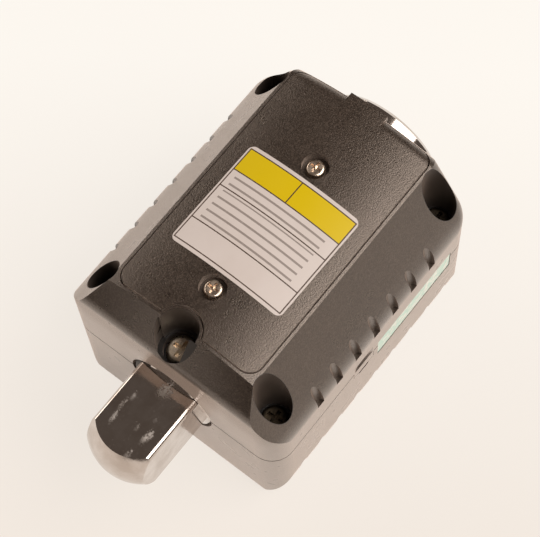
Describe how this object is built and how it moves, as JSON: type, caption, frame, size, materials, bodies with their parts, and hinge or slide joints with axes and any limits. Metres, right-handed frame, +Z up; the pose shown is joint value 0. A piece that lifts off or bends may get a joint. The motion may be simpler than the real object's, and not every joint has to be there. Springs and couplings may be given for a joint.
{
  "type": "digital torque adapter",
  "caption": "Square-drive torque adapter: a dark two-part case round a steel drive shaft, with a domed male square, a female socket head, a crowned battery cover and a keyed display side.",
  "frame": {"origin": "on the drive axis, in the shoulder plane of the male square", "axes": "+X along the drive axis towards the male square's tip, +Z up through the battery cover, away from the display, +Y by the right-hand rule"},
  "size_m": [0.0803, 0.0466, 0.0427],
  "materials": {
    "chrome": "bright",
    "ball_steel": "polished",
    "spring_steel": "satin",
    "dark_case": "fine grain",
    "dark_cover": "fine grain",
    "screw_nickel": "satin",
    "label_white": "satin",
    "seal_mint": "satin",
    "cell_jacket": "satin",
    "contact_nickel": "bright",
    "lead_sleeve": "satin",
    "board_green": "satin",
    "chip_black": "matte",
    "switch_black": "satin",
    "gauge_film": "satin",
    "lcd_grey": "satin",
    "frame_black": "matte",
    "light_white": "satin",
    "strip_rubber": "matte",
    "window_clear": "gloss",
    "lamp_clear": "gloss",
    "key_grey": "satin",
    "key_red": "satin"
  },
  "bodies": {
    "case": {"torque_shaft": "chrome", "strain_gauges": "gauge_film", "gauge_ribbon": "gauge_film", "detent_spring": "spring_steel", "rear_housing": "dark_case", "front_housing": "dark_case", "seal_label": "seal_mint", "housing_screws": "screw_nickel", "shaft_screw": "screw_nickel", "board_screws": "screw_nickel", "battery_left": "cell_jacket", "battery_right": "cell_jacket", "battery_springs": "spring_steel", "contact_positive": "contact_nickel", "contact_negative": "contact_nickel", "contact_bridge": "contact_nickel", "battery_leads": "lead_sleeve", "circuit_board": "board_green", "main_chip": "chip_black", "tact_switches": "switch_black", "lcd_glass": "lcd_grey", "lcd_frame": "frame_black", "backlight": "light_white", "lcd_connector": "strip_rubber", "display_window": "window_clear", "buzzer": "chip_black", "status_lamp": "light_white", "lamp_lens": "lamp_clear"},
    "cover": {"battery_cover": "dark_cover", "cover_screws": "screw_nickel", "cover_label": "label_white"},
    "detent": {"detent_ball": "ball_steel"},
    "button_power_key": {"button_power": "key_red"},
    "button_down_key": {"button_down": "key_grey"},
    "button_up_key": {"button_up": "key_grey"},
    "button_unit_key": {"button_unit": "key_grey"}
  },
  "joints": [
    {"name": "cover_lift", "type": "slide", "parent": "case", "child": "cover", "axis": [0, 0, 1], "range_m": [0, 0.03]},
    {"name": "detent_press", "type": "slide", "parent": "case", "child": "detent", "axis": [0, 0, 1], "range_m": [0, 0.0008], "stiffness_N_per_m": 2500, "springref_m": -0.001, "deforming": ["detent_spring"]},
    {"name": "button_power_press", "type": "slide", "parent": "case", "child": "button_power_key", "axis": [0, 0, 1], "range_m": [0, 0.0005], "stiffness_N_per_m": 600, "springref_m": -0.0006},
    {"name": "button_down_press", "type": "slide", "parent": "case", "child": "button_down_key", "axis": [0, 0, 1], "range_m": [0, 0.0005], "stiffness_N_per_m": 600, "springref_m": -0.0006},
    {"name": "button_up_press", "type": "slide", "parent": "case", "child": "button_up_key", "axis": [0, 0, 1], "range_m": [0, 0.0005], "stiffness_N_per_m": 600, "springref_m": -0.0006},
    {"name": "button_unit_press", "type": "slide", "parent": "case", "child": "button_unit_key", "axis": [0, 0, 1], "range_m": [0, 0.0005], "stiffness_N_per_m": 600, "springref_m": -0.0006}
  ]
}
